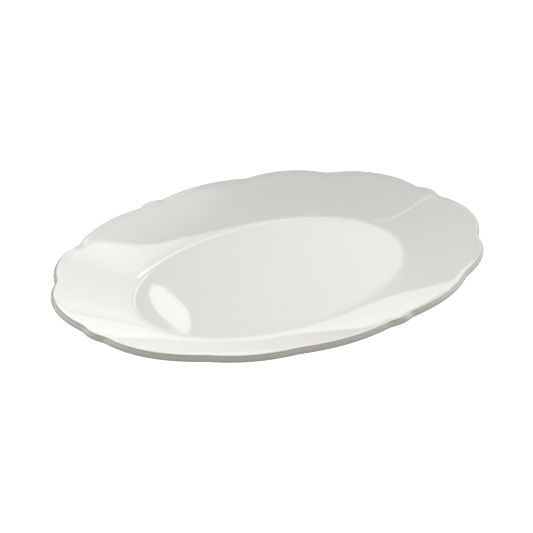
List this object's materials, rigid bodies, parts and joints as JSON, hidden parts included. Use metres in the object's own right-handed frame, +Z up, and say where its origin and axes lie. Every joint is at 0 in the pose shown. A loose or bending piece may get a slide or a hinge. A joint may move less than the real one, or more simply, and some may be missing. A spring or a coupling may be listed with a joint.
{
  "type": "serving platter",
  "caption": "Oval glazed porcelain serving platter with a flat well, a wide sloping border, a scalloped beaded rim and an unglazed foot ring; carries and presents food.",
  "frame": {"origin": "middle of the platter in the table plane, under the foot ring", "axes": "+X along the platter's length, +Y across its width, +Z up"},
  "size_m": [0.36, 0.28, 0.0254],
  "materials": {
    "glazed_porcelain": "clear gloss glaze over white porcelain",
    "biscuit_foot": "wiped bare of glaze, smooth matt biscuit"
  },
  "bodies": {
    "root": {"well_floor": "glazed_porcelain", "well_bend": "glazed_porcelain", "border": "glazed_porcelain", "rim_bead": "glazed_porcelain", "foot_ring": "biscuit_foot"}
  },
  "joints": []
}
